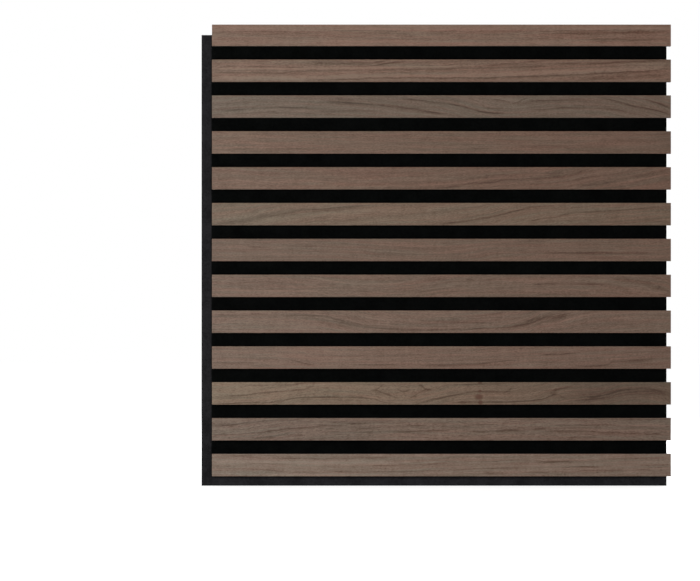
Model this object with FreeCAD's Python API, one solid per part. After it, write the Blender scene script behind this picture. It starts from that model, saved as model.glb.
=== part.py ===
import FreeCAD, Part
import math
import os

# Acoustic slat wall panel: veneered slats in a row on a board of pressed felt, stapled from behind.
# The wall is the plane y = 0 and the slats face -Y. X runs along the slats and Z is up, in millimetres.
# The origin is the middle of the felt's back face.

# Slats, counted from the top. The top one is ripped narrower where the panel is squared up.
slat_count = 13
slat_pitch = 40.0
slat_width = 25.0
top_slat_width = 24.0
slat_length = 512.0
slat_thickness = 12.0
veneer_thickness = 0.6
veneer_arris = 0.3

# The felt lies offset behind the slats.
# It shows at the left and below, and the slats pass it above and at the right.
felt_thickness = 9.0
left_margin = 12.0
lower_margin = 11.0
right_overhang = 4.0
upper_overhang = 11.0

# Wire staples, driven through the felt into each slat. The crown is pulled below the felt's back face.
staples_per_slat = 4
staple_end_distance = 31.0
staple_crown = 12.8
wire_thickness = 0.7
wire_width = 1.2
point_length = 1.0
crown_sink = 0.8
crown_clearance = 0.5
wood_before_points = 3.4

# Places that follow from the sizes above.
slat_field_height = (slat_count - 1) * slat_pitch + top_slat_width
felt_width = left_margin + slat_length - right_overhang
felt_height = lower_margin + slat_field_height - upper_overhang
core_thickness = slat_thickness - veneer_thickness
felt_left = -felt_width / 2
felt_bottom = -felt_height / 2
felt_top = felt_height / 2
slat_left = felt_left + left_margin
lowest_slat_bottom = felt_bottom + lower_margin
felt_front = -felt_thickness
core_front = felt_front - core_thickness
face_front = felt_front - slat_thickness
crown_back = -crown_sink
crown_underside = crown_back - wire_thickness
point_tip = core_front + wood_before_points
staple_spacing = (slat_length - 2 * staple_end_distance) / (staples_per_slat - 1)


def rounded_face(corners):
    """Flat face inside (point, radius) corners, with a tangent arc where the radius is over zero."""
    starts, ends, arcs = [], [], []
    for i, (point, radius) in enumerate(corners):
        before = (corners[i - 1][0] - point).normalize()
        after = (corners[(i + 1) % len(corners)][0] - point).normalize()
        half_angle = before.getAngle(after) / 2
        reach = radius / math.tan(half_angle)
        starts.append(point + before * reach)
        ends.append(point + after * reach)
        inward = (before + after).normalize()
        middle = point + inward * (radius / math.sin(half_angle) - radius)
        arcs.append(Part.Arc(starts[i], middle, ends[i]).toShape() if radius > 0 else None)
    edges = []
    for i, arc in enumerate(arcs):
        if arc:
            edges.append(arc)
        edges.append(Part.makeLine(ends[i], starts[(i + 1) % len(corners)]))
    return Part.Face(Part.Wire(edges))


def slat_section(back, front, bottom, top, arris):
    """Section across a slat's core or veneer at its left end, with the arris on the two front edges."""
    return rounded_face([
        (FreeCAD.Vector(slat_left, back, bottom), 0),
        (FreeCAD.Vector(slat_left, back, top), 0),
        (FreeCAD.Vector(slat_left, front, top), arris),
        (FreeCAD.Vector(slat_left, front, bottom), arris),
    ])


def slat_edges(number):
    """Bottom and top edge of a slat, counted from the top."""
    bottom = lowest_slat_bottom + (slat_count - number) * slat_pitch
    width = top_slat_width if number == 1 else slat_width
    return bottom, bottom + width


def staple_places(number):
    """Middle of each staple on a slat, midway up the part of the slat's back that lies on the felt."""
    bottom, top = slat_edges(number)
    height = (bottom + min(top, felt_top)) / 2
    first = slat_left + staple_end_distance
    return [(first + i * staple_spacing, height) for i in range(staples_per_slat)]


def make_staple(middle, height):
    """One staple, bent sharp inside and round outside, with a chisel point on each leg's inner side."""
    outer = staple_crown / 2
    inner = outer - wire_thickness
    low_face = height - wire_width / 2
    outline = [
        (-outer, crown_back, wire_thickness),
        (outer, crown_back, wire_thickness),
        (outer, point_tip, 0),
        (inner, point_tip + point_length, 0),
        (inner, crown_underside, 0),
        (-inner, crown_underside, 0),
        (-inner, point_tip + point_length, 0),
        (-outer, point_tip, 0),
    ]
    corners = [(FreeCAD.Vector(middle + x, y, low_face), radius) for x, y, radius in outline]
    return rounded_face(corners).extrude(FreeCAD.Vector(0, 0, wire_width))


def crown_pocket(middle, height):
    """The dent that a crown pulls into the felt's back, open to the wall and down to its underside."""
    length = staple_crown + 2 * crown_clearance
    width = wire_width + 2 * crown_clearance
    depth = crown_sink + wire_thickness
    corner = FreeCAD.Vector(middle - length / 2, crown_underside, height - width / 2)
    return Part.makeBox(length, depth, width, corner)


def make_slat_core(number):
    """Dyed fibreboard strip, pierced from behind by its staples."""
    section = slat_section(felt_front, core_front, *slat_edges(number), 0)
    core = section.extrude(FreeCAD.Vector(slat_length, 0, 0))
    return core.cut([make_staple(*place) for place in staple_places(number)])


def make_veneer(number):
    """Wood veneer on a slat's face, with its long edges eased."""
    section = slat_section(core_front, face_front, *slat_edges(number), veneer_arris)
    return section.extrude(FreeCAD.Vector(slat_length, 0, 0))


def make_felt(places):
    """Pressed felt board, dented at each crown and pierced by each leg."""
    corner = FreeCAD.Vector(felt_left, felt_front, felt_bottom)
    board = Part.makeBox(felt_width, felt_thickness, felt_height, corner)
    dents = [crown_pocket(*place) for place in places]
    staples = [make_staple(*place) for place in places]
    return board.cut(dents + staples)


def save(name, shape):
    """Writes one piece to its own file, named after the piece."""
    shape.exportStep(os.path.join("parts", name + ".step"))


os.makedirs("parts", exist_ok=True)
slat_numbers = range(1, slat_count + 1)
all_places = [place for number in slat_numbers for place in staple_places(number)]
save("felt_backing", make_felt(all_places))
save("staples", Part.makeCompound([make_staple(*place) for place in all_places]))
for number in slat_numbers:
    save(f"slat_core_{number:02d}", make_slat_core(number))
    save(f"veneer_face_{number:02d}", make_veneer(number))
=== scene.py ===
import math

import bpy
import numpy as np
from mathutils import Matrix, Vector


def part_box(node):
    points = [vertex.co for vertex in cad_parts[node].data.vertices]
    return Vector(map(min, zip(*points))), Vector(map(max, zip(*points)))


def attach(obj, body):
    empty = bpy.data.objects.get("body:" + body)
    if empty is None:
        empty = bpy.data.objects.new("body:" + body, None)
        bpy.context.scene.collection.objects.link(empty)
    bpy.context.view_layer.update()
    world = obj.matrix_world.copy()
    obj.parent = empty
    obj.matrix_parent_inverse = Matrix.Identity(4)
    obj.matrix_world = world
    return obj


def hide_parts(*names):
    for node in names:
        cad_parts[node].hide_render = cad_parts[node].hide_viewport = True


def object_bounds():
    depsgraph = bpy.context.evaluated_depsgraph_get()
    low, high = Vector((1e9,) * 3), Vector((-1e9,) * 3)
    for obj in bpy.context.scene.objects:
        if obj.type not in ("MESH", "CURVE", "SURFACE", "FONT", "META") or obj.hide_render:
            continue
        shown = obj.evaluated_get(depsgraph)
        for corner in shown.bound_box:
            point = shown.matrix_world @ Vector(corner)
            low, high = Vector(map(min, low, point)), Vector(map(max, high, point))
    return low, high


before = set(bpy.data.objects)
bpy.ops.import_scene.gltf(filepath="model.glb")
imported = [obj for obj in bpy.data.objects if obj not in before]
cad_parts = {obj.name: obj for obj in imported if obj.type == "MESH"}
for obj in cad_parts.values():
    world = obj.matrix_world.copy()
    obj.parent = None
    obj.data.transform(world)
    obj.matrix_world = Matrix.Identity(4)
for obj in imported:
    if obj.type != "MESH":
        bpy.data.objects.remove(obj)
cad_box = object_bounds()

# Felt board
# One board of black polyester felt, needled, pressed flat and cut square with a knife. It carries the slats.
# It swells a little where no slat holds it down, and each staple's crown pulls a dent into its back.
mm = 0.001
felt_low, felt_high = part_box("felt_backing")
wire_low, wire_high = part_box("staples")
core_names = [name for name in sorted(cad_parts) if name.startswith("slat_core_")]
slat_boxes = [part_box(name) for name in core_names]
slat_left = slat_boxes[0][0].x
slat_right = slat_boxes[0][1].x
slat_bottoms = np.array([low.z for low, high in slat_boxes])
slat_tops = np.array([high.z for low, high in slat_boxes])

# The crowns of the staples, and how deep and how far round them the felt is pulled in.
staples_per_slat = 4
crown_length = 12.8 * mm
crown_width = 1.2 * mm
crown_bed = 1.53 * mm
dent_reach = 1.8 * mm
dimple_depth = 0.5 * mm
dimple_reach = 7.0 * mm
staple_columns = np.linspace(wire_low.x + crown_length / 2, wire_high.x - crown_length / 2, staples_per_slat)
staple_rows = (slat_bottoms + np.minimum(slat_tops, felt_high.z)) / 2

# How far the board swells and rolls, and how round its cut edges are.
# A rounded edge has a ring of points at each turn, and the rim between has one at each share of its height.
felt_swell = 0.35 * mm
swell_reach = 3.0 * mm
felt_roll = 0.12 * mm
roll_waves = 24
shortest_wave = 9 * mm
longest_wave = 60 * mm
knife_edge = 0.6 * mm
edge_turns = np.radians([30, 60, 90])
rim_shares = (0.35, 0.65)

# Lines of the board's grid: even ones, one beside each rim, and closer ones past the crowns' ends and sides.
spacing_across = 5 * mm
spacing_upwards = 4 * mm
beside_rim = 1 * mm
past_crown_ends = np.array([0.4, 0.9, 1.5, 2.4]) * mm
past_crown_sides = np.array([0.65, 1.1, 1.7, 2.6, 4]) * mm


def rolling(x, z, seed):
    """Gentle unevenness, mostly between -1 and 1: twice the mean of plane waves of seeded heading, length
    and phase."""
    draw = np.random.default_rng(seed)
    heading = draw.uniform(0, 2 * np.pi, roll_waves)
    length = draw.uniform(shortest_wave, longest_wave, roll_waves)
    phase = draw.uniform(0, 2 * np.pi, roll_waves)
    along = x[..., None] * np.cos(heading) + z[..., None] * np.sin(heading)
    return 2 * np.sin(2 * np.pi * along / length + phase).mean(-1)


def swelling(x, z):
    """Rise of the felt's front: it nears its full height with the distance from the closest slat."""
    beside = np.maximum(np.maximum(slat_left - x, x - slat_right), 0)
    between = np.maximum(slat_bottoms - z[..., None], z[..., None] - slat_tops).min(-1).clip(0)
    return felt_swell * (1 - np.exp(-np.hypot(beside, between) / swell_reach))


def dents(x, z):
    """Depth of the felt's back: full under a crown's oblong, then two bell curves of the distance to it."""
    past_end = np.maximum(np.abs(x[..., None] - staple_columns).min(-1) - crown_length / 2, 0)
    past_side = np.maximum(np.abs(z[..., None] - staple_rows).min(-1) - crown_width / 2, 0)
    away = np.hypot(past_end, past_side)
    steep = (crown_bed - dimple_depth) * np.exp(-((away / dent_reach) ** 2))
    return steep + dimple_depth * np.exp(-((away / dimple_reach) ** 2))


def grid_lines(low, high, spacing, marks, offsets):
    """Even lines from low to high and one beside each end, with closer ones at every mark and at the
    offsets to both its sides. Lines that agree to seven digits count once."""
    even = np.linspace(low, high, round((high - low) / spacing) + 1)
    clear = offsets.max() + spacing / 4
    even = even[np.abs(even[:, None] - marks).min(1) > clear]
    closer = marks[:, None] + np.concatenate([-offsets, [0], offsets])
    rim = [low, low + beside_rim, high - beside_rim, high]
    return np.unique(np.concatenate([even, closer.ravel(), rim]).round(7))


def grid_faces(index, flip):
    """Quads over a grid of point numbers, turned round where flip is true."""
    quads = np.stack([index[:-1, :-1], index[1:, :-1], index[1:, 1:], index[:-1, 1:]], -1).reshape(-1, 4)
    return quads[:, ::-1] if flip else quads


def felt_board():
    """Points and quads of the closed board, and how deep each point is dented, from nought to one.
    Front and back are heights over one grid of x and z lines. The rim joins their borders by rings, which
    round both edges by a quarter circle."""
    crown_ends = (staple_columns[:, None] + [-crown_length / 2, crown_length / 2]).ravel()
    x_lines = grid_lines(felt_low.x + knife_edge, felt_high.x - knife_edge, spacing_across, crown_ends,
                         past_crown_ends)
    z_lines = grid_lines(felt_low.z + knife_edge, felt_high.z - knife_edge, spacing_upwards, staple_rows,
                         past_crown_sides)
    x, z = np.meshgrid(x_lines, z_lines, indexing="ij")
    depth = dents(x, z)
    front = felt_low.y - swelling(x, z) + felt_roll * (rolling(x, z, seed=1) + 1) / 2
    back = felt_high.y - depth - felt_roll * (rolling(x, z, seed=2) + 1) / 2

    index = np.arange(x.size).reshape(x.shape)
    loop = np.concatenate([index[:, 0], index[-1, 1:], index[-2::-1, -1], index[0, -2:0:-1]])
    rim_x, rim_z = x.ravel()[loop], z.ravel()[loop]
    rim_front, rim_back = front.ravel()[loop], back.ravel()[loop]
    rings = [(np.sin(turn), rim_front + knife_edge * (1 - np.cos(turn))) for turn in edge_turns]
    rings += [(1.0, rim_front + (rim_back - rim_front) * share) for share in rim_shares]
    rings += [(np.sin(turn), rim_back - knife_edge * (1 - np.cos(turn))) for turn in edge_turns[::-1]]

    points = [np.stack([x, front, z], -1).reshape(-1, 3), np.stack([x, back, z], -1).reshape(-1, 3)]
    side_x = np.sign(rim_x) * np.isin(rim_x, x_lines[[0, -1]])
    side_z = np.sign(rim_z) * np.isin(rim_z, z_lines[[0, -1]])
    for reach, y in rings:
        out_x = rim_x + side_x * knife_edge * reach
        out_z = rim_z + side_z * knife_edge * reach
        points.append(np.stack([out_x, y, out_z], -1))
    ring_starts = 2 * x.size + np.arange(len(rings)) * loop.size
    bands = np.vstack([loop, ring_starts[:, None] + np.arange(loop.size), loop + x.size])
    bands = np.column_stack([bands, bands[:, 0]])
    faces = [grid_faces(index, False), grid_faces(index + x.size, True), grid_faces(bands, False)]
    dented = np.concatenate([np.zeros(x.size), depth.ravel() / crown_bed, np.zeros(len(rings) * loop.size)])
    return np.concatenate(points), np.concatenate(faces), dented


def add_piece(name, points, faces, material):
    """A smooth-shaded mesh of these points and faces, at the origin, with its material."""
    mesh = bpy.data.meshes.new(name)
    mesh.from_pydata(points.tolist(), [], faces.tolist())
    mesh.shade_smooth()
    mesh.materials.append(material)
    piece = bpy.data.objects.new(name, mesh)
    bpy.context.scene.collection.objects.link(piece)
    return piece


def add_material(name, **constants):
    """A new material with its tree and main shader. What is the same all over is set on the shader."""
    material = bpy.data.materials.new(name)
    material.use_nodes = True
    shader = material.node_tree.nodes["Principled BSDF"]
    for socket, value in constants.items():
        shader.inputs[socket.replace("_", " ")].default_value = value
    return material, material.node_tree, shader


def node(tree, kind, inputs, **settings):
    """A shader node with its settings, whose inputs are values or other nodes' outputs."""
    made = tree.nodes.new("ShaderNode" + kind)
    for setting, value in settings.items():
        setattr(made, setting, value)
    for socket, value in inputs.items():
        if isinstance(value, bpy.types.NodeSocket):
            tree.links.new(value, made.inputs[socket])
        else:
            made.inputs[socket].default_value = value
    return made


def calc(tree, operation, *values):
    """One sum on values or outputs."""
    return node(tree, "Math", dict(enumerate(values)), operation=operation).outputs[0]


def step(tree, value, low, high, start=0.0, end=1.0):
    """Smooth change from start to end while the value goes from low to high."""
    inputs = dict(enumerate((value, low, high, start, end)))
    return node(tree, "MapRange", inputs, interpolation_type="SMOOTHSTEP").outputs[0]


def mix(tree, share, first, second):
    """Colour between the first and the second."""
    return node(tree, "Mix", {0: share, 6: first, 7: second}, data_type="RGBA").outputs[2]


def scaled(tree, vector, factor):
    """A place or a colour times one factor."""
    return node(tree, "VectorMath", {0: vector, 3: factor}, operation="SCALE").outputs[0]


def millimetres(tree):
    """The point on the piece in millimetres."""
    return scaled(tree, node(tree, "TexCoord", {}).outputs["Object"], 1 / mm)


def laid(tree, place, stretch, turn=0.0):
    """A place for noise in long patches: turned about the panel's normal and divided by the stretch."""
    inputs = {0: place, 2: (0, turn, 0), 3: stretch}
    return node(tree, "Mapping", inputs, vector_type="TEXTURE").outputs[0]


def noise(tree, place, scale=1.0, detail=2.0, roughness=0.5):
    """Cloudy noise round one half, at a place."""
    inputs = {"Vector": place, "Scale": scale, "Detail": detail, "Roughness": roughness}
    return node(tree, "TexNoise", inputs).outputs[0]


def emboss(tree, shader, height, strength, depth):
    """Shades the surface as if it rose by the depth where the height is one."""
    bump = node(tree, "Bump", {"Strength": strength, "Distance": depth, "Height": height})
    tree.links.new(bump.outputs[0], shader.inputs["Normal"])


# Colours of dense and of thin felt, much darker as painted shade in the grooves and open elsewhere, and of
# its grey fibres.
groove_shade_felt = ((0.0013, 0.0016, 0.0015, 1), (0.003, 0.0034, 0.0032, 1))
open_felt = ((0.009, 0.0086, 0.0096, 1), (0.019, 0.0182, 0.0204, 1))
grey_fibre = (0.05, 0.05, 0.053, 1)
# How long and how thick the fibres are and how far they curl, in millimetres, and how they are turned.
fibre_size = (4.0, 0.3, 0.16)
fibre_curl = (5, 5, 5)
fibre_turns = (0.2, 0.85, 1.45, 2.1, 2.75)
# The open felt begins and is full this far off the slats' edges and behind the front face, in millimetres;
# nearer the slats it has painted shade.
# In a dent the open look falls off between these shares of the full depth, down to the last share, partly as
# denser pressed felt and partly as painted shade.
slat_shade_fade = (0.0, 2.0)
behind_fade = (0.5, 2.0)
dent_shade_fade = (0.15, 1.0)
deepest_dent_open_share = 0.25
# The open felt is painted this much paler along the lower edge, as painted light. It changes this far below
# the slats, in millimetres.
lower_edge_light = 1.32
lower_edge_light_fade = (-4.0, 6.0)
# Shares of the wide and the small clouds, and the sums at which the felt is densest and thinnest.
wide_share = 0.6
small_share = 0.7
cloud_range = (0.45, 0.85)
# Noise that counts as a strand, and how far the strands show on the painted groove shade and on the open
# felt.
strand_range = (0.61, 0.70)
strands_shown = (0.05, 0.4)
strand_height = 0.5
fluff_height = 0.25 * mm


def pressed_felt():
    """Black fibres with some grey ones lying all ways, over clouds of denser and thinner felt. Between the
    slats the felt is painted far darker as shade, with fewer grey fibres showing, and a painted contact
    shadow fades out just past the slats' edges. Elsewhere, and behind the front face, it keeps its open
    colour, painted paler as light along the lower edge. The dents are dark, partly as denser pressed felt
    and partly as painted shade."""
    material, tree, shader = add_material("pressed_felt", Roughness=1.0, Specular_IOR_Level=0.0,
                                          Sheen_Weight=0.02, Sheen_Roughness=0.5)
    place = millimetres(tree)
    parts = node(tree, "SeparateXYZ", {0: place}).outputs
    front = felt_low.y / mm
    beside = calc(tree, "SUBTRACT", slat_left / mm, parts["X"])
    below = calc(tree, "SUBTRACT", slat_bottoms.min() / mm, parts["Z"])
    # Painted shade: between the slats and within 2 mm of their edges the felt gets the dark groove colour.
    outside_slat_shade = step(tree, calc(tree, "MAXIMUM", beside, below), *slat_shade_fade)
    behind = step(tree, parts["Y"], front + behind_fade[0], front + behind_fade[1])
    dented = node(tree, "Attribute", {}, attribute_name="dented").outputs["Fac"]
    # Painted shade in the dents, partly standing for denser pressed felt.
    outside_dent_shade = step(tree, dented, *dent_shade_fade, start=1.0, end=deepest_dent_open_share)
    unshaded = calc(tree, "MULTIPLY", calc(tree, "MAXIMUM", outside_slat_shade, behind), outside_dent_shade)

    wide_clouds = noise(tree, place, scale=0.06)
    small_clouds = noise(tree, place, scale=0.35, detail=4.0, roughness=0.6)
    small_clouds = calc(tree, "MULTIPLY", small_clouds, small_share)
    cloud = step(tree, calc(tree, "MULTIPLY_ADD", wide_clouds, wide_share, small_clouds), *cloud_range)
    groove_shade = mix(tree, cloud, *groove_shade_felt)
    # Painted light: the open felt is paler along the lower edge.
    lower_light = step(tree, below, *lower_edge_light_fade, start=1.0, end=lower_edge_light)
    open_colour = scaled(tree, mix(tree, cloud, *open_felt), lower_light)

    curl = node(tree, "TexNoise", {"Vector": place, "Scale": 0.3, "Detail": 1.0}).outputs["Color"]
    curled = node(tree, "VectorMath", {0: curl, 1: fibre_curl, 2: place}, operation="MULTIPLY_ADD")
    strands = 0.0
    for turn in fibre_turns:
        fibre = noise(tree, laid(tree, curled.outputs[0], fibre_size, turn), detail=1.0)
        strands = calc(tree, "MAXIMUM", strands, step(tree, fibre, *strand_range))
    shown = calc(tree, "MULTIPLY", strands, step(tree, unshaded, 0.0, 1.0, *strands_shown))
    colour = mix(tree, shown, mix(tree, unshaded, groove_shade, open_colour), grey_fibre)
    tree.links.new(colour, shader.inputs["Base Color"])
    fluff = noise(tree, place, scale=1.6, detail=3.0, roughness=0.7)
    height = calc(tree, "MULTIPLY_ADD", strands, strand_height, fluff)
    emboss(tree, shader, height, strength=0.7, depth=fluff_height)
    return material


felt_points, felt_faces, felt_dents = felt_board()
felt = add_piece("felt_board", felt_points, felt_faces, pressed_felt())
felt.data.attributes.new("dented", "FLOAT", "POINT").data.foreach_set("value", felt_dents)
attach(felt, "root")
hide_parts("felt_backing")

# Slat cores
# Strips of medium-density fibreboard, dyed black right through and sawn from one sheet. They are stapled on
# from behind. The saw leaves fine lines along their sides and a rougher face at their ends.
dyed_dark = (0.007, 0.0066, 0.0063, 1)
dyed_pale = (0.025, 0.023, 0.0215, 1)
speck_size = (0.5, 0.3, 0.3)
speck_share = 0.6
saw_line_size = (40, 0.25, 0.25)
saw_line_share = 0.4
saw_line_depth = 0.12 * mm
dye_range = (0.38, 0.62)


def dyed_fibreboard():
    """Black board: fine fibre specks, and saw lines that run along the slat on its sides."""
    material, tree, shader = add_material("dyed_fibreboard", Roughness=0.85, Specular_IOR_Level=0.12)
    place = millimetres(tree)
    specks = noise(tree, laid(tree, place, speck_size), detail=3.0, roughness=0.6)
    saw_lines = noise(tree, laid(tree, place, saw_line_size))
    specks = calc(tree, "MULTIPLY", specks, speck_share)
    tone = calc(tree, "ADD", specks, calc(tree, "MULTIPLY", saw_lines, saw_line_share))
    colour = mix(tree, step(tree, tone, *dye_range), dyed_dark, dyed_pale)
    tree.links.new(colour, shader.inputs["Base Color"])
    emboss(tree, shader, tone, strength=0.8, depth=saw_line_depth)
    return material


def dress(name, material):
    """Gives one of the frame's pieces its finish."""
    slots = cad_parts[name].data.materials
    slots.clear()
    slots.append(material)


core_finish = dyed_fibreboard()
for name in core_names:
    dress(name, core_finish)

# Veneer faces
# A leaf of sliced walnut is glued on each slat's face, sanded and given a matt lacquer.
# Each leaf has its own figure, which follows from how the knife passed the growth rings of the log.
slat_length = (slat_right - slat_left) / mm
# Shares of a leaf's tone in its palest and its darkest wood. Dark walnut is deeper in blue than in red.
early_wood = (1.31, 1.37, 1.42)
late_wood = (0.46, 0.35, 0.27)
# Darkness of the plain wood between these two, and what the marks of the fine grain add to it.
plain_darkness = 0.3
band_share = 0.07
streak_share = 0.09
fibre_share = 0.1
tick_share = 0.16
mottle_share = 0.05
pore_share = 0.6
# Years to a millimetre across the grain, the parts of a year in which late wood sets in and stops, and the
# share of the pores that shows at its end.
years_per_mm = 0.16
late_rise = (0.2, 0.9)
late_fall = (0.9, 1.0)
late_pores = 0.4
# Noise that counts as a pore, as a dash and as a paler or redder patch.
pore_range = (0.75, 1.1)
dash_range = (0.5, 1.5)
patch_range = (-1.5, 1.5)
# Shares of red in the paler and the redder patches, and of green and blue at the slats' left and right ends,
# a painted sheen of the lamp that greys the left ends.
blush_range = (0.925, 1.09)
painted_sheen_range = (1.036, 0.99)
# The red heart of a small knot, how far it covers the wood, and the squared distances over which it ends.
knot_heart = (0.072, 0.027, 0.0125, 1)
knot_cover = 0.85
knot_edge = (0.1, 1.6)
# How far the fine grain sways and shivers and how far growth lines shiver, in millimetres.
grain_sway = 0.9
grain_shiver = 0.25
line_shiver = 0.3
# A growth line darkens and then ends between these distances from its course, counted in its widths.
# At both ends it fades over a length in millimetres or over some of its widths, whichever is more.
line_rise = (-2.2, 0.2)
line_fall = (-0.2, 1.4)
line_unevenness = 0.35
fade_length = 18
fade_widths = 6
# The lacquer, and the pores and fibres that show in it.
lacquer_roughness = 0.43
fibre_roughness = 0.03
fibre_height = 0.1
pore_depth = 0.06 * mm
# How far the noise of the grain is spread, and how far apart the leaves are cut from it.
grain_spread = 7.0
leaf_spacing = 7.3

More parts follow.
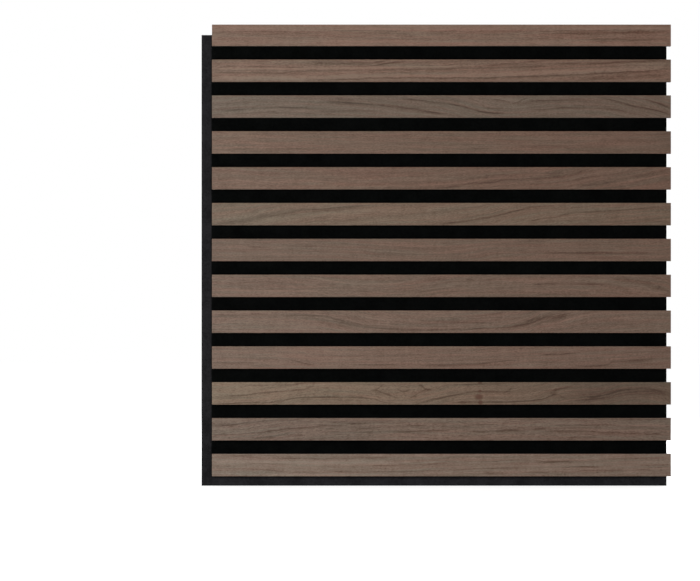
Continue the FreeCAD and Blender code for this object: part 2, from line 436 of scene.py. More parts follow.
# A leaf has a tone, and its yearly bands (rings) and its short dark dashes show more or less.
# Each growth line has a width, a darkness and a course of (distance along the slat, height over its middle).
# A rosy streak has a width, a redness and a course. The flow is the course of the finer grain.
# The shade, where a leaf isn't even, gives shares of its tone along the slat. Lengths are in millimetres.
# A knot has a distance along the slat, a height over its middle, half a length and half a width.
figures = {
    1: dict(
        tone=(0.157, 0.095, 0.066), rings=0.1, dashes=0.15,
        flow=[(0, 0), (300, 0), (420, 0.5), (512, 2)],
        lines=[
            (4.0, -0.22, [(0, 8.5), (512, 8.5)]),
            (0.6, 0.33, [(0, 4.8), (100, 4.2), (170, 5.2), (260, 4.8), (350, 4.8), (420, 5.3), (512, 6)]),
            (4.5, 0.12, [(0, 3), (512, 3)]),
            (1.2, -0.15, [(60, -6.5), (300, -6.5), (512, -6)]),
            (1.5, -0.15, [(0, -9.5), (340, -9.5), (440, -9.5)]),
            (1.6, 0.35, [(380, 1.5), (425, 2.5), (470, 3.5), (512, 4.5)]),
            (2.0, 0.45, [(415, -5.5), (470, -4.5), (512, -4)]),
        ],
        rosy=[
            (1.6, 0.05, [(-20, 10), (532, 10)]),
            (0.5, 0.1, [(40, 6), (170, 6.6), (260, 6.3), (350, 6.2), (420, 6.6), (540, 7.4)]),
            (0.6, 0.09, [(100, -8), (300, -8.4), (480, -8)]),
        ],
    ),
    2: dict(
        tone=(0.145, 0.089, 0.061), rings=0.15, dashes=0.3,
        flow=[(0, 0), (100, 0.5), (180, 1.5), (260, 3), (340, 5), (420, 8), (512, 11)],
        lines=[
            (0.9, 0.4, [(0, 4.5), (50, 4.6), (80, 4), (108, 3.5)]),
            (1.1, -0.5, [(0, 2), (40, 2.2), (110, 2.7), (160, 3.1), (190, 3.8), (250, 4.8), (280, 5.2)]),
            (0.9, 0.5, [(0, -2), (40, -2), (60, -2.3), (95, -1.7)]),
            (0.9, 0.3, [(75, -1), (130, 0), (180, 0.8), (230, 1.5), (280, 2.5), (330, 4), (380, 5)]),
            (2.8, -0.35, [(0, -7), (80, -7.5), (150, -6), (200, -5), (260, -4), (340, -2.5), (420, 0),
                          (512, 4)]),
            (0.9, 0.5, [(98, -10), (130, -9.5), (165, -9), (185, -7.6), (230, -7.5), (280, -8), (330, -7)]),
            (0.9, 0.5, [(320, -7.2), (360, -6), (400, -4.5), (440, -2.5), (470, -1), (512, 1)]),
            (0.8, 0.7, [(172, 5), (195, 8), (210, 10), (222, 11.5)]),
            (1.1, 0.7, [(178, 9.8), (190, 10.5), (199, 12.5)]),
            (0.7, 0.35, [(250, 6), (280, 8), (305, 10)]),
            (0.9, 0.35, [(295, 5.6), (320, 7), (345, 9), (375, 11)]),
            (1.1, 0.5, [(380, 7.8), (410, 8), (440, 9), (480, 10.5), (512, 11.2)]),
            (2.8, 0.3, [(100, 10.5), (150, 8.5), (185, 8.5)]),
            (1.6, 0.35, [(400, -8.2), (440, -7.5), (470, -6), (512, -5)]),
        ],
    ),
    3: dict(
        tone=(0.117, 0.0806, 0.0573), rings=0.13, dashes=0.22,
        flow=[(0, -3), (60, 0), (110, -1), (150, -3), (200, -7), (260, -14), (310, -24), (335, -26),
              (380, -24), (430, -25), (470, -33), (512, -43)],
        lines=[
            (1.0, 0.28, [(6, -4.6), (20, -4), (40, -2.5), (60, -1.5), (85, -1), (118, -3)]),
            (1.2, 0.27, [(100, -5), (140, -5.5), (160, -4.5), (190, -6)]),
            (1.5, 0.45, [(118, 7.4), (130, 6), (150, 4.5), (165, 3), (180, 2.5), (195, 1), (210, -1),
                         (230, -3), (245, -6), (266, -8.5)]),
            (0.9, 0.35, [(145, 5), (180, 2.6), (200, 0.6), (240, -4.4)]),
            (1.2, 0.27, [(135, 9), (165, 6.5)]),
            (0.9, 0.27, [(240, 11), (260, 8), (275, 6.5), (284, 4.5)]),
            (0.9, 0.63, [(205, 8.2), (230, 7), (245, 5), (260, 3.8), (275, 1.5), (290, -2.5), (302, -5.5),
                         (312, -7), (330, -7.5)]),
            (0.9, 0.27, [(284, 11), (292, 8), (302, 2)]),
            (0.8, 0.32, [(298, -1.4), (328, -2)]),
            (0.7, 0.45, [(310, 8.4), (325, 6.5), (335, 3.2)]),
            (0.7, 0.45, [(331, 3), (340, 5), (347, 8), (357, 11)]),
            (2.2, -0.27, [(318, 10.5), (335, 8), (348, 10.5)]),
            (0.8, 0.41, [(346, 7.2), (365, 6.5), (380, 7), (395, 7.5), (420, 9.4)]),
            (1.0, 0.41, [(350, -4.3), (375, -3), (392, -1.5), (410, -2), (430, -2), (445, -3),
                         (465, -5.4)]),
            (0.9, 0.68, [(428, 9.8), (445, 7.5), (455, 5), (465, 2), (475, 0.5), (485, -2), (495, -4),
                         (505, -7), (516, -10)]),
            (1.0, 0.59, [(481, 10.5), (490, 6), (497, 4), (505, 1), (516, -2)]),
        ],
    ),
    4: dict(
        tone=(0.122, 0.074, 0.050), rings=0.1, dashes=0.2,
        flow=[(0, 0), (200, 1), (400, -1), (512, 1)],
        lines=[
            (0.7, 0.3, [(18, -6.5), (48, -7.5)]),
            (2.6, -0.15, [(430, -5), (470, -3.5), (505, -6)]),
            (1.8, 0.18, [(330, -2), (360, -4), (400, -5)]),
            (0.9, 0.2, [(285, -6.5), (315, -6.8)]),
        ],
        shade=[(0, 1.13), (150, 1.03), (340, 1), (512, 0.92)],
    ),
    5: dict(
        tone=(0.123, 0.073, 0.049), rings=0.12, dashes=0.2,
        flow=[(0, 0), (240, 0), (280, 3), (330, 9), (380, 12), (420, 19), (460, 24), (512, 33)],
        lines=[
            (1.0, 0.41, [(246, -11.5), (262, -10), (275, -8.5), (285, -6), (300, -5), (315, -4),
                         (325, -1.5), (350, -0.8)]),
            (1.7, 0.3, [(335, -0.8), (370, 1), (390, 3), (405, 5.5), (415, 9), (428, 12)]),
            (1.1, 0.3, [(372, 5.2), (394, 6.8)]),
            (1.0, 0.41, [(402, -8.4), (430, -6.5), (445, -4), (458, -1.6)]),
            (0.8, -0.3, [(450, -4.6), (470, -2), (490, 1), (510, 4.6)]),
            (2.8, 0.17, [(455, 2), (480, 4), (508, 9)]),
            (0.9, 0.22, [(138, 4.4), (150, 9)]),
        ],
        rosy=[
            (4.0, 0.06, [(120, -4), (190, -4), (260, -4)]),
        ],
        shade=[(0, 1.05), (220, 1.02), (300, 1), (400, 0.97), (512, 0.96)],
    ),
    6: dict(
        tone=(0.1305, 0.0864, 0.0571), rings=0.07, dashes=0.15,
        flow=[(0, -2), (30, 0), (60, 6), (105, 13), (165, 18), (260, 22), (300, 27), (350, 39), (400, 44),
              (512, 52)],
        lines=[
            (2.0, 0.32, [(-4, -10), (15, -9.5), (30, -8), (45, -5.5), (60, -2), (75, -1), (90, 2), (105, 5),
                         (118, 5), (130, 6), (150, 7.5), (172, 10.5)]),
            (1.8, 0.14, [(40, -2), (60, 0), (75, 3), (100, 7)]),
            (2.2, -0.14, [(50, -7.5), (100, -2), (140, 2), (190, 6)]),
            (1.0, 0.25, [(85, -12), (95, -9), (105, -6), (120, -3.5), (140, -1)]),
            (0.9, 0.18, [(136, -10), (150, -7.5), (170, -4.4)]),
            (0.9, 0.22, [(195, 5.4), (215, 7.5), (235, 9.5), (260, 11)]),
            (1.0, 0.5, [(252, -10.5), (275, -8.5), (290, -6), (305, -4), (318, -1.5), (330, 1.5), (345, 5),
                        (352, 7.5), (365, 8.5), (385, 10), (400, 12)]),
            (3.2, 0.11, [(262, -5), (300, 0), (336, 7)]),
            (0.9, 0.32, [(348, -8), (370, -5), (385, -3), (395, 0.5), (405, 2), (430, 3), (460, 5),
                         (480, 7), (505, 9.5)]),
            (0.7, 0.25, [(436, -5.6), (455, -3.5), (475, -3)]),
            (0.9, 0.22, [(424, -6.5), (460, -9), (490, -7.5), (514, -8)]),
        ],
        rosy=[
            (4.0, 0.06, [(120, -2), (190, 3), (260, 7)]),
        ],
        shade=[(0, 1), (160, 1.03), (340, 1), (512, 0.93)],
    ),
    7: dict(
        tone=(0.122, 0.075, 0.051), rings=0.1, dashes=0.15,
        flow=[(0, 2), (60, 1), (150, 0), (220, -3), (260, -3), (320, 3), (380, 4), (512, 4)],
        lines=[
            (0.8, -0.25, [(170, 1.6), (190, -1), (215, -2.5), (240, -3.5), (265, -1.5), (285, 1),
                          (300, 3.5), (325, 5.4)]),
            (0.8, 0.3, [(80, 4.5), (125, 4.5)]),
            (0.8, 0.3, [(36, 4.4), (62, 2.8)]),
            (1.3, 0.45, [(365, -4.6), (390, -3), (410, -3), (440, -3), (470, -3), (495, -5)]),
            (1.0, 0.3, [(412, -8), (440, -8), (466, -8.6)]),
            (0.9, 0.3, [(335, 10), (380, 10)]),
        ],
    ),
    8: dict(
        tone=(0.1268, 0.0785, 0.0538), rings=0.04, dashes=0.2,
        flow=[(0, 0), (100, -1), (150, -3), (200, -3), (240, 0), (290, 5), (400, 6), (460, 4), (512, -4)],
        lines=[
            (0.9, -0.3, [(100, 11), (118, 8.5), (135, 5.5), (150, 3.5), (175, 2.5), (200, 2.5), (215, 5),
                         (235, 8.6)]),
            (0.9, -0.3, [(-6, -4), (60, -5.5), (100, -5.5), (118, -6.5), (127, -9), (134, -12)]),
            (3.0, -0.12, [(-6, -8), (60, -9), (124, -10)]),
            (1.3, 0.3, [(220, -5.8), (240, -5), (255, -3), (270, -1.5), (290, 1.6)]),
            (0.9, 0.5, [(356, 2), (386, 2.5)]),
            (0.9, 0.45, [(396, 2), (444, 2.5)]),
            (1.1, 0.35, [(360, -9), (425, -9.5)]),
            (1.7, 0.2, [(235, 7), (275, 7.5)]),
            (0.9, 0.45, [(281, 7.8), (296, 6.2)]),
            (2.8, 0.28, [(444, 8.4), (475, 6.5), (495, 0), (516, -7)]),
            (1.7, 0.2, [(447, 2), (462, -4), (470, -10)]),
        ],
    ),
    9: dict(
        tone=(0.1323, 0.0848, 0.0594), rings=0.06, dashes=0.15,
        flow=[(0, 1), (110, 0), (140, -4), (185, -12), (235, -15), (300, -13), (345, -9), (370, 0),
              (400, 6), (440, 11), (512, 13)],
        lines=[
            (1.5, 0.34, [(-6, 8), (30, 7), (50, 8), (65, 6.5), (95, 6.5), (110, 6.5), (120, 6),
                         (132, 4.6)]),
            (2.0, 0.34, [(122, 6.6), (138, 3), (148, 0), (158, -2), (172, -4.5), (185, -6), (210, -8),
                         (240, -9.7)]),
            (2.8, 0.17, [(110, 4), (135, -2), (160, -6)]),
            (1.0, 0.42, [(230, -9.6), (260, -8.5), (280, -8), (300, -7.5), (315, -7), (330, -6),
                         (348, -3)]),
            (0.9, 0.3, [(240, 0.5), (265, 0), (290, -1), (316, -1)]),
            (2.8, 0.45, [(330, -6.6), (345, -3.5), (352, -0.5), (358, 2), (370, 5), (380, 6.5), (392, 8),
                         (398, 9.5), (408, 13)]),
            (4.0, 0.3, [(340, -4.5), (365, 1), (400, 6)]),
            (1.0, -0.21, [(364, -2.6), (385, -1), (395, 2), (410, 6), (425, 9), (445, 12)]),
            (1.1, 0.26, [(294, 6.4), (315, 9), (334, 11.5)]),
        ],
        rosy=[
            (1.7, 0.12, [(325, -11), (360, -6), (385, -1), (410, 5), (435, 8)]),
        ],
        shade=[(0, 1.04), (160, 1.03), (260, 1), (512, 0.99)],
    ),
    10: dict(
        tone=(0.140, 0.086, 0.060), rings=0.1, dashes=0.25,
        flow=[(0, 0), (90, 0), (120, -3), (200, -3), (280, -2), (340, 1), (400, 3), (512, 8)],
        lines=[
            (0.8, 0.25, [(-4, -6.5), (30, -6), (66, -5)]),
            (1.0, 0.3, [(84, -1.8), (95, -4), (105, -7), (118, -9.4)]),
            (0.9, 0.4, [(150, -8), (190, -8), (220, -7), (250, -8), (275, -7.5), (300, -6.5), (318, -4.5),
                        (345, -2.8)]),
            (0.9, 0.45, [(360, 3.4), (385, 3.5), (395, 4.5), (417, 5.8)]),
            (1.1, 0.4, [(404, -9.8), (440, -8), (448, -4), (462, -2.8)]),
            (1.8, 0.35, [(448, -3), (475, -3), (490, -1), (500, 3)]),
            (0.9, 0.25, [(290, -2.4), (350, -3)]),
        ],
        shade=[(0, 1.01), (250, 1.04), (340, 1), (460, 0.9), (512, 0.92)],
    ),
    11: dict(
        tone=(0.142, 0.096, 0.063), rings=0.1, dashes=0.15,
        flow=[(0, -1), (45, 0), (80, 4), (110, 8), (150, 8), (185, 5), (220, 4), (245, 8), (275, 14),
              (300, 16), (340, 17), (380, 25), (400, 29), (430, 31), (480, 39), (512, 33)],
        lines=[
            (0.9, 0.5, [(4, -2.6), (40, -1.5), (55, 0.5), (80, 2.5), (100, 4.5), (115, 9)]),
            (2.0, 0.3, [(104, 6), (110, 8.5), (116, 11)]),
            (0.8, 0.3, [(30, 8.8), (75, 9.6), (112, 11.4)]),
            (0.9, 0.55, [(0, -11.2), (45, -10.5), (75, -9), (88, -6), (105, -4.5), (130, -4), (150, -4.2)]),
            (0.9, 0.5, [(140, -4), (160, -4.5), (180, -6), (190, -9), (203, -12)]),
            (1.0, 0.45, [(175, 4), (183, 4.2), (186, 6), (193, 11)]),
            (0.9, 0.4, [(175, 4), (184, 3.6), (188, 1.8), (194, -0.2), (200, -2.6), (210, -6)]),
            (0.9, 0.4, [(206, 5), (210, 6.6), (214, 7.8), (218, 6.6), (222, 5)]),
            (0.9, 0.5, [(206, 5), (210, 3), (214, 2), (218, 3), (222, 5)]),
            (1.2, 0.5, [(226, 12), (234, 8.6), (238, 5.4), (241, 4.4), (248, 4.4)]),
            (0.9, 0.35, [(218, -6.5), (227, -1.5), (235, 2.8), (240, 4.2), (248, 4.4)]),
            (0.9, 0.62, [(226, -13), (245, -7), (258, -4.5), (275, -1), (290, 1.5), (310, 2), (326, 1.5),
                         (334, 2.6)]),
            (0.7, 0.45, [(258, -4.2), (280, 0.4), (295, 2), (312, 2.4)]),
            (1.2, 0.4, [(325, 1), (332, 4), (336, 10)]),
            (0.8, 0.5, [(256, 7.4), (285, 10.5), (336, 10.7)]),
            (0.9, 0.6, [(264, -10.2), (300, -9.6), (345, -9), (362, -7.5), (375, -4), (386, 2)]),
            (2.0, 0.6, [(376, -1), (381, 0.4), (386, 1)]),
            (1.0, 0.6, [(376, 2.6), (390, 6), (406, 9)]),
            (1.0, 0.4, [(385, -2), (392, -4.5), (398, -7)]),
            (1.6, 0.7, [(420, -5.6), (428, -3.5), (436, -1.5)]),
            (1.2, 0.42, [(428, -1.6), (440, 0), (450, 2.5), (470, 5), (485, 6.5), (492, 6)]),
            (1.3, 0.38, [(478, 6.4), (495, 4), (500, 2), (508, -2)]),
            (1.0, 0.4, [(400, -8.8), (425, -6), (445, -4.2)]),
            (4.5, 0.3, [(400, -5), (430, -2), (470, 2), (530, -1)]),
        ],
        rosy=[
            (5.0, 0.06, [(150, -2), (240, -2), (330, 2)]),
            (9.0, 0.08, [(290, 2), (430, 2), (570, 2)]),
        ],
        shade=[(0, 1.18), (120, 1.12), (230, 1.01), (300, 0.94), (385, 0.82), (430, 0.67), (512, 0.71)],
        knots=[(298, -4, 5.0, 3.2), (299.5, -10, 2.6, 2.6), (299, 2.6, 2.0, 1.6), (299, 12, 2.2, 1.5)],
    ),
    12: dict(
        tone=(0.142, 0.095, 0.0685), rings=0.12, dashes=0.5,
        flow=[(0, -2), (30, -1), (60, 2.5), (105, 7), (150, 8), (300, 8), (420, 7), (512, 5)],
        lines=[
            (0.8, 0.5, [(-4, 4), (20, 5), (35, 7), (50, 9), (65, 10), (106, 10.6)]),
            (0.8, 0.54, [(-4, -6), (20, -6), (40, -4.5), (60, -2.5), (80, 0), (105, 2), (135, 4.4)]),
            (0.8, 0.45, [(110, 4.5), (154, 4.6)]),
            (0.9, 0.54, [(146, 6.4), (180, 7)]),
            (0.9, 0.41, [(158, 0.2), (190, 2.2)]),
            (0.8, 0.5, [(164, -3.5), (182, -3.5)]),
            (1.0, 0.5, [(194, -1.4), (215, -2.5), (240, -1.5), (270, -1.5)]),
            (0.8, 0.41, [(215, 4), (240, 4.6)]),
            (0.9, 0.45, [(236, 6.4), (255, 7), (272, 9)]),
            (0.9, 0.45, [(271, 9.6), (286, 6.4)]),
            (0.8, 0.41, [(280, 5), (300, 5), (332, 4.4)]),
            (1.0, 0.45, [(280, -1.8), (305, -2.5), (330, -1), (356, -2.6)]),
            (0.8, 0.45, [(314, -2.6), (352, -2.6)]),
            (1.2, 0.45, [(356, -0.6), (374, 1)]),
            (1.0, 0.54, [(368, -1.4), (400, -2), (425, -2.5), (435, -3.5), (460, -4), (485, -4.5),
                         (510, -6.4)]),
            (0.8, 0.36, [(374, 5.5), (405, 4.5), (430, 5), (455, 4), (486, 3)]),
            (1.0, 0.41, [(394, -8.6), (440, -8)]),
            (0.9, 0.41, [(330, 11), (405, 10.5), (440, 11), (512, 11)]),
            (0.8, 0.36, [(40, -9.5), (75, -9)]),
        ],
        shade=[(0, 1), (140, 0.97), (220, 1.06), (400, 1), (512, 0.92)],
    ),
    13: dict(
        tone=(0.179, 0.1245, 0.092), rings=0.1, dashes=0.28,
        flow=[(0, 2), (60, 0.5), (120, -1), (200, 0), (280, 3), (360, 4.5), (440, 6), (512, 8)],
        lines=[
            (1.7, 0.36, [(2, 11.2), (40, 10.5), (60, 9.5), (85, 8.5), (110, 8), (130, 7.5), (165, 8.5),
                         (205, 8.5)]),
            (2.5, -0.25, [(-6, 5), (40, 4), (80, 3.5), (120, 4), (160, 4), (206, 3)]),
            (0.8, 0.29, [(26, 1.5), (60, 1.5), (96, 0.4)]),
            (0.8, 0.29, [(-4, -2), (30, -4), (60, -5), (90, -7.5), (120, -8), (150, -7), (200, -7),
                         (245, -6)]),
            (0.8, 0.22, [(-4, -0.6), (36, -2)]),
            (1.7, -0.22, [(54, -11), (206, -10)]),
            (0.9, 0.32, [(170, -0.2), (200, 0), (215, 1), (230, 1), (255, 2.5), (270, 3.5), (290, 4),
                         (310, 4.5), (340, 5.5), (372, 4.8)]),
            (0.9, 0.32, [(228, -5.4), (255, -6), (275, -5), (300, -4), (330, -3), (350, -3.6)]),
            (1.7, 0.25, [(294, -5), (312, -8), (336, -9.2)]),
            (1.7, 0.32, [(358, 5), (385, 4), (410, 5.8)]),
            (0.8, 0.43, [(384, -3.2), (412, -1.5), (436, -1.5)]),
            (0.8, 0.32, [(394, -6), (440, -5.5), (466, -3.8)]),
            (0.8, 0.32, [(434, 7), (468, 7.5), (500, 9), (516, 10.4)]),
            (0.7, 0.36, [(464, 0), (518, 0.5)]),
            (0.8, 0.29, [(470, -5), (494, -4.5)]),
            (0.9, 0.25, [(340, -8), (366, -8), (384, -9)]),
        ],
        shade=[(0, 1), (200, 1.03), (400, 1), (512, 0.93)],
    ),
}


def along_slat(tree, distance, points):
    """A size that changes along the slat, smoothly through (distance, size) points."""
    start, reach = points[0][0], points[-1][0] - points[0][0]
    sizes = [size for place, size in points]
    low, span = min(sizes), max(max(sizes) - min(sizes), 1.0)
    share = node(tree, "MapRange", dict(enumerate((distance, start, start + reach)))).outputs[0]
    curve = node(tree, "FloatCurve", {1: share})
    bends = curve.mapping.curves[0].points
    for place, size in points[1:-1]:
        bends.new((place - start) / reach, (size - low) / span)
    bends[0].location = (0, (points[0][1] - low) / span)
    bends[-1].location = (1, (points[-1][1] - low) / span)
    curve.mapping.update()
    return calc(tree, "MULTIPLY_ADD", curve.outputs[0], span, low)


def spot(tree, first, second, third):
    """A place for noise from three sizes."""
    return node(tree, "CombineXYZ", dict(enumerate((first, second, third)))).outputs[0]


def grain(tree, first, second, length, width, seed):
    """Noise round nought, mostly between -1 and 1, of patches with a length and a width."""
    place = spot(tree, calc(tree, "DIVIDE", first, length), calc(tree, "DIVIDE", second, width), seed)
    return calc(tree, "MULTIPLY_ADD", noise(tree, place, roughness=0.55), grain_spread, -grain_spread / 2)


def growth_line(tree, along, above, width, course):
    """Late wood of one year: it darkens slowly from the inner side, ends more sharply at the outer side,
    and fades towards both ends of its course."""
    start, end = course[0][0], course[-1][0]
    fade = min(max(fade_length, fade_widths * width), (end - start) / 3)
    off = calc(tree, "SUBTRACT", above, along_slat(tree, along, course))
    inner = step(tree, off, line_rise[0] * width, line_rise[1] * width)
    outer = step(tree, off, line_fall[0] * width, line_fall[1] * width, start=1.0, end=0.0)
    first_end = step(tree, along, start, start + fade)
    last_end = step(tree, along, end - fade, end, start=1.0, end=0.0)
    ends = calc(tree, "MULTIPLY", first_end, last_end)
    return calc(tree, "MULTIPLY", calc(tree, "MULTIPLY", inner, outer), ends)


def pin_knot(tree, along, above, distance, height, half_length, half_width):
    """One in the small red heart of a knot, falling to nought just past its half length and half width."""
    beside = calc(tree, "DIVIDE", calc(tree, "SUBTRACT", along, distance), half_length)
    over = calc(tree, "DIVIDE", calc(tree, "SUBTRACT", above, height), half_width)
    away = calc(tree, "MULTIPLY_ADD", beside, beside, calc(tree, "MULTIPLY", over, over))
    return step(tree, away, *knot_edge, start=1.0, end=0.0)


def fine_grain(tree, along, above, off_flow, seed, rings, dashes):
    """Darkness of a leaf between its clear growth lines, and the streaks, fibres and pores in it. The
    darkness is that of plain wood plus marks by their shares: yearly bands, which darken slowly and end
    sharply, broad bands, streaks, fibres, ticks, mottles, pores and dashes. The pores are darkest in early
    wood."""
    age = calc(tree, "FRACT", calc(tree, "MULTIPLY_ADD", off_flow, years_per_mm, seed))
    late = step(tree, age, *late_rise)
    late = calc(tree, "MULTIPLY", late, step(tree, age, *late_fall, start=1.0, end=0.0))
    band = grain(tree, along, off_flow, length=170, width=4.0, seed=seed + 2)
    streak = grain(tree, along, off_flow, length=40, width=1.4, seed=seed + 3)
    fibre = grain(tree, along, off_flow, length=14, width=0.5, seed=seed + 4)
    tick = grain(tree, along, off_flow, length=2.6, width=0.8, seed=seed + 9)
    mottle = grain(tree, along, above, length=8, width=14, seed=seed + 6)
    pore = grain(tree, along, off_flow, length=4, width=0.22, seed=seed + 5)
    open_pores = step(tree, age, 0.0, 1.0, start=1.0, end=late_pores)
    pore = calc(tree, "MULTIPLY", step(tree, pore, *pore_range), open_pores)
    dash = step(tree, grain(tree, along, off_flow, length=7, width=0.75, seed=seed + 8), *dash_range)
    marks = [
        (late, rings), (band, band_share), (streak, streak_share), (fibre, fibre_share),
        (tick, tick_share), (mottle, mottle_share), (pore, pore_share), (dash, dashes),
    ]
    dark = plain_darkness
    for mark, share in marks:
        dark = calc(tree, "MULTIPLY_ADD", mark, share, dark)
    return dark, streak, fibre, pore


def tinted(tone, shares):
    """A full colour: each part of the tone times its share."""
    return tuple(part * share for part, share in zip(tone, shares)) + (1,)


def walnut_veneer(number, middle, tone, rings, dashes, flow, lines, rosy=(), shade=None, knots=()):
    """Sliced walnut. Its fine grain runs along the flow, with a slight sway and shiver. The growth lines
    that show clearly are laid over it one by one. The darkness mixes palest and darkest wood, then come the
    knots, the rosy streaks and the shade. Towards their left ends the leaves are painted a little greyer, as
    a sheen of the lamp at the left."""
    material, tree, shader = add_material(f"walnut_veneer_{number:02d}", Specular_IOR_Level=0.24)
    seed = leaf_spacing * number
    place = node(tree, "SeparateXYZ", {0: millimetres(tree)}).outputs
    along = calc(tree, "SUBTRACT", place["X"], slat_left / mm)
    above = calc(tree, "SUBTRACT", place["Z"], middle / mm)
    shiver = grain(tree, along, above, length=16, width=4, seed=seed)
    sway = grain(tree, along, above, length=90, width=14, seed=seed + 1)
    off_flow = calc(tree, "SUBTRACT", above, along_slat(tree, along, flow))
    off_flow = calc(tree, "MULTIPLY_ADD", shiver, grain_shiver, off_flow)
    off_flow = calc(tree, "MULTIPLY_ADD", sway, grain_sway, off_flow)
    dark, streak, fibre, pore = fine_grain(tree, along, above, off_flow, seed, rings, dashes)

    strayed = calc(tree, "MULTIPLY_ADD", shiver, line_shiver, above)
    uneven = calc(tree, "MULTIPLY_ADD", streak, line_unevenness, 1.0)
    for width, darkness, course in lines:
        line = calc(tree, "MULTIPLY", growth_line(tree, along, strayed, width, course), uneven)
        dark = calc(tree, "MULTIPLY_ADD", line, darkness, dark)
    wood = mix(tree, dark, tinted(tone, early_wood), tinted(tone, late_wood))
    for knot in knots:
        heart = calc(tree, "MULTIPLY", pin_knot(tree, along, above, *knot), knot_cover)
        wood = mix(tree, heart, wood, knot_heart)

    patch = grain(tree, along, off_flow, length=80, width=2.6, seed=seed + 7)
    blush = step(tree, patch, *patch_range, *blush_range)
    for width, redness, course in rosy:
        blush = calc(tree, "MULTIPLY_ADD", growth_line(tree, along, strayed, width, course), redness, blush)
    # Painted sheen of the lamp at the left: green and blue are raised towards the slats' left ends.
    painted_sheen = step(tree, along, 0.0, slat_length, *painted_sheen_range)
    parts = node(tree, "SeparateColor", {0: wood}).outputs
    red = calc(tree, "MULTIPLY", parts["Red"], blush)
    green = calc(tree, "MULTIPLY", parts["Green"], painted_sheen)
    blue = calc(tree, "MULTIPLY", parts["Blue"], painted_sheen)
    wood = node(tree, "CombineColor", {"Red": red, "Green": green, "Blue": blue}).outputs[0]
    if shade:
        wood = scaled(tree, wood, along_slat(tree, along, shade))
    tree.links.new(wood, shader.inputs["Base Color"])
    roughness = calc(tree, "MULTIPLY_ADD", fibre, fibre_roughness, lacquer_roughness)
    tree.links.new(roughness, shader.inputs["Roughness"])
    height = calc(tree, "MULTIPLY_ADD", pore, -1.0, calc(tree, "MULTIPLY", fibre, fibre_height))
    emboss(tree, shader, height, strength=0.5, depth=pore_depth)
    return material


for number, figure in figures.items():
    name = f"veneer_face_{number:02d}"
    low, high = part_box(name)
    dress(name, walnut_veneer(number, (low.z + high.z) / 2, **figure))

# Staples
# Galvanised wire, flattened, bent and cut to chisel points. They are shot through the felt into the cores.
# Their crowns lie in the dents of the felt's back.
dull_zinc = (0.30, 0.31, 0.32, 1)
bright_zinc = (0.50, 0.51, 0.52, 1)
zinc_range = (0.35, 0.65)
wire_roughness = 0.25
patch_roughness = 0.3
drawing_line_size = (6, 0.12, 0.12)
drawing_line_depth = 0.05 * mm


def galvanised_wire():
    """Bright zinc with cloudy patches and drawing lines along the crown."""
    material, tree, shader = add_material("galvanised_wire", Metallic=1.0)
    place = millimetres(tree)
    patch = noise(tree, place, scale=0.9, detail=3.0, roughness=0.6)
    drawing_lines = noise(tree, laid(tree, place, drawing_line_size))
    colour = mix(tree, step(tree, patch, *zinc_range), dull_zinc, bright_zinc)
    tree.links.new(colour, shader.inputs["Base Color"])
    roughness = calc(tree, "MULTIPLY_ADD", patch, patch_roughness, wire_roughness)
    tree.links.new(roughness, shader.inputs["Roughness"])
    emboss(tree, shader, drawing_lines, strength=0.5, depth=drawing_line_depth)
    return material


dress("staples", galvanised_wire())

# Studio
# A pale floor under the panel's lower edge, a soft lamp at the front left, another behind, and an even white
# surround. The camera faces the panel squarely through a long lens.
floor_reach = 8.0
floor_colour = (0.82, 0.82, 0.82, 1)
floor_clouds = (0.97, 0.97, 0.97)
floor_lift = 0.7
white = (1, 1, 1, 1)
surround = 0.38
key_place = (-0.95, -1.6, -0.1)
key_size = 1.0
key_watts = 31.7
rear_place = (0.9, 1.8, 0.9)
rear_size = 1.0
rear_watts = 30.0
image_width = 700
photo_scale = 1.1155 * mm
view_width = image_width * photo_scale
view_x = -94.0 * mm
view_z = -33.7 * mm
lens = 220.0
sensor = 36.0
farthest_view = 100.0


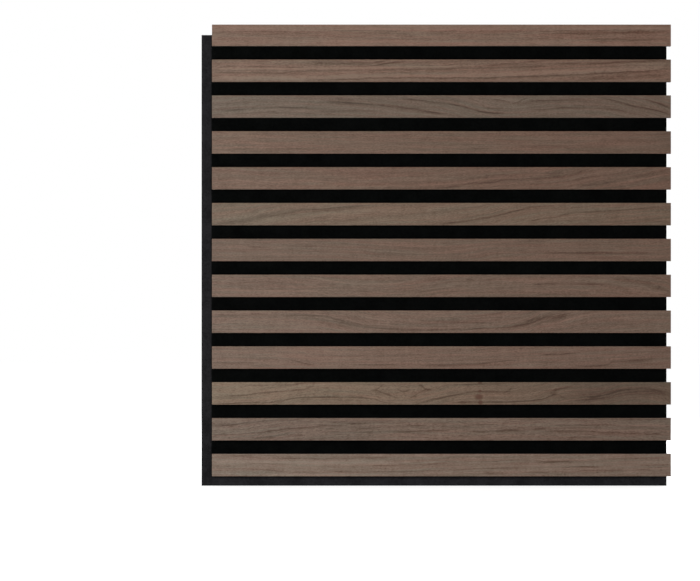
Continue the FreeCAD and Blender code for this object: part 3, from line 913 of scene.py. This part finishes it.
def seen_directly(tree):
    """One for rays from the camera, or from a mirror or glass that shows the ground, else nought."""
    path = node(tree, "LightPath", {}).outputs
    shown = calc(tree, "MAXIMUM", path["Is Camera Ray"], path["Is Glossy Ray"])
    return calc(tree, "MAXIMUM", shown, path["Is Transmission Ray"])


def studio_floor():
    """Pale matt floor with faint clouds, lifted to white for the camera where it is fully lit."""
    material, tree, shader = add_material("studio_floor", Roughness=0.9, Specular_IOR_Level=0.0,
                                          Emission_Color=white)
    cloud = noise(tree, millimetres(tree), scale=0.01)
    colour = mix(tree, cloud, floor_colour, tinted(floor_colour, floor_clouds))
    tree.links.new(colour, shader.inputs["Base Color"])
    lift = calc(tree, "MULTIPLY", seen_directly(tree), floor_lift)
    tree.links.new(lift, shader.inputs["Emission Strength"])
    return material


corners = np.array([(-1, -1), (1, -1), (1, 1), (-1, 1)]) * floor_reach
floor_points = np.column_stack([corners, np.full(len(corners), felt_low.z)])
floor = add_piece("floor", floor_points, np.array([[0, 1, 2, 3]]), studio_floor())

world = bpy.data.worlds.new("white_surround")
world.use_nodes = True
bpy.context.scene.world = world
sky = world.node_tree
strength = calc(sky, "MULTIPLY_ADD", seen_directly(sky), 1 - surround, surround)
sky.nodes["Background"].inputs["Color"].default_value = white
sky.links.new(strength, sky.nodes["Background"].inputs["Strength"])


def add_lamp(name, place, size, watts):
    """A round soft lamp that faces the panel's middle."""
    lamp = bpy.data.lights.new(name, "AREA")
    lamp.shape = "DISK"
    lamp.size = size
    lamp.energy = watts
    body = bpy.data.objects.new(name, lamp)
    x, y, z = place
    body.location = place
    body.rotation_euler = (math.atan2(math.hypot(x, y), z), 0, math.atan2(x, -y))
    bpy.context.scene.collection.objects.link(body)


add_lamp("key_lamp", key_place, key_size, key_watts)
add_lamp("rear_lamp", rear_place, rear_size, rear_watts)

camera = bpy.data.cameras.new("camera")
camera.lens = lens
camera.sensor_width = sensor
camera.clip_end = farthest_view
camera_body = bpy.data.objects.new("camera", camera)
camera_body.location = (view_x, cad_box[0].y - view_width * lens / sensor, view_z)
camera_body.rotation_euler = (math.pi / 2, 0, 0)
bpy.context.scene.collection.objects.link(camera_body)
bpy.context.scene.camera = camera_body
bpy.context.scene.view_settings.view_transform = "Standard"
